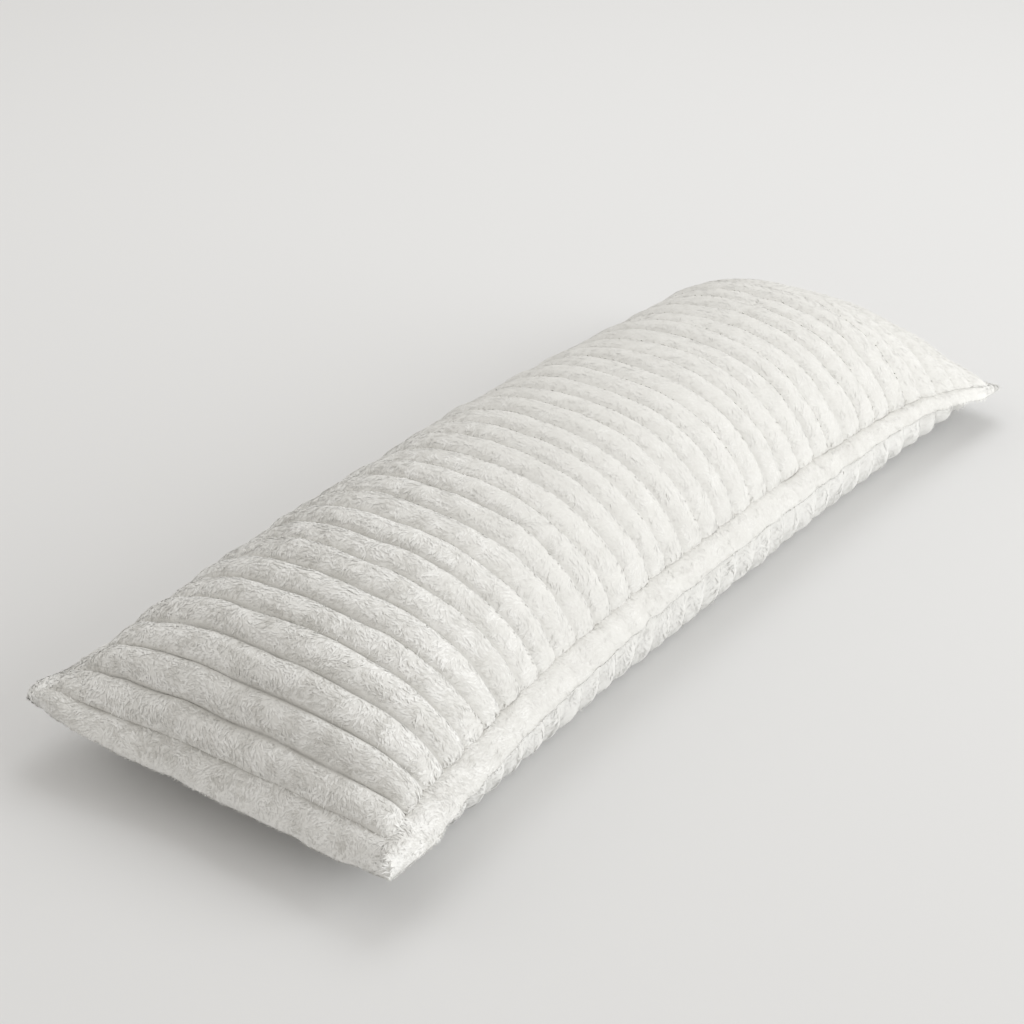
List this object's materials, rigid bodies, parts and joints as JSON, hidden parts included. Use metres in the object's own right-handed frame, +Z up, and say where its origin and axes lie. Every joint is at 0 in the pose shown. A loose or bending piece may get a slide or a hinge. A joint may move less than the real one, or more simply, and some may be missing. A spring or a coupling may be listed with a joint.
{
  "type": "body pillow",
  "caption": "Long body pillow of ribbed plush: one filled body with a high crown and ribs across it, and an unfilled, drooping flange all round its seam.",
  "frame": {"origin": "middle of the pillow's box in plan, on the surface it lies on", "axes": "+X along the pillow's length towards its lower end, +Y across it, +Z up from the surface it lies on"},
  "size_m": [1.3622, 0.5112, 0.2336],
  "materials": {
    "plush": "ivory ribbed plush with a short curly pile",
    "flange_plush": "ivory plush, fluffed outwards at the edge"
  },
  "bodies": {
    "root": {"pillow": "plush", "flange": "flange_plush"}
  },
  "joints": []
}
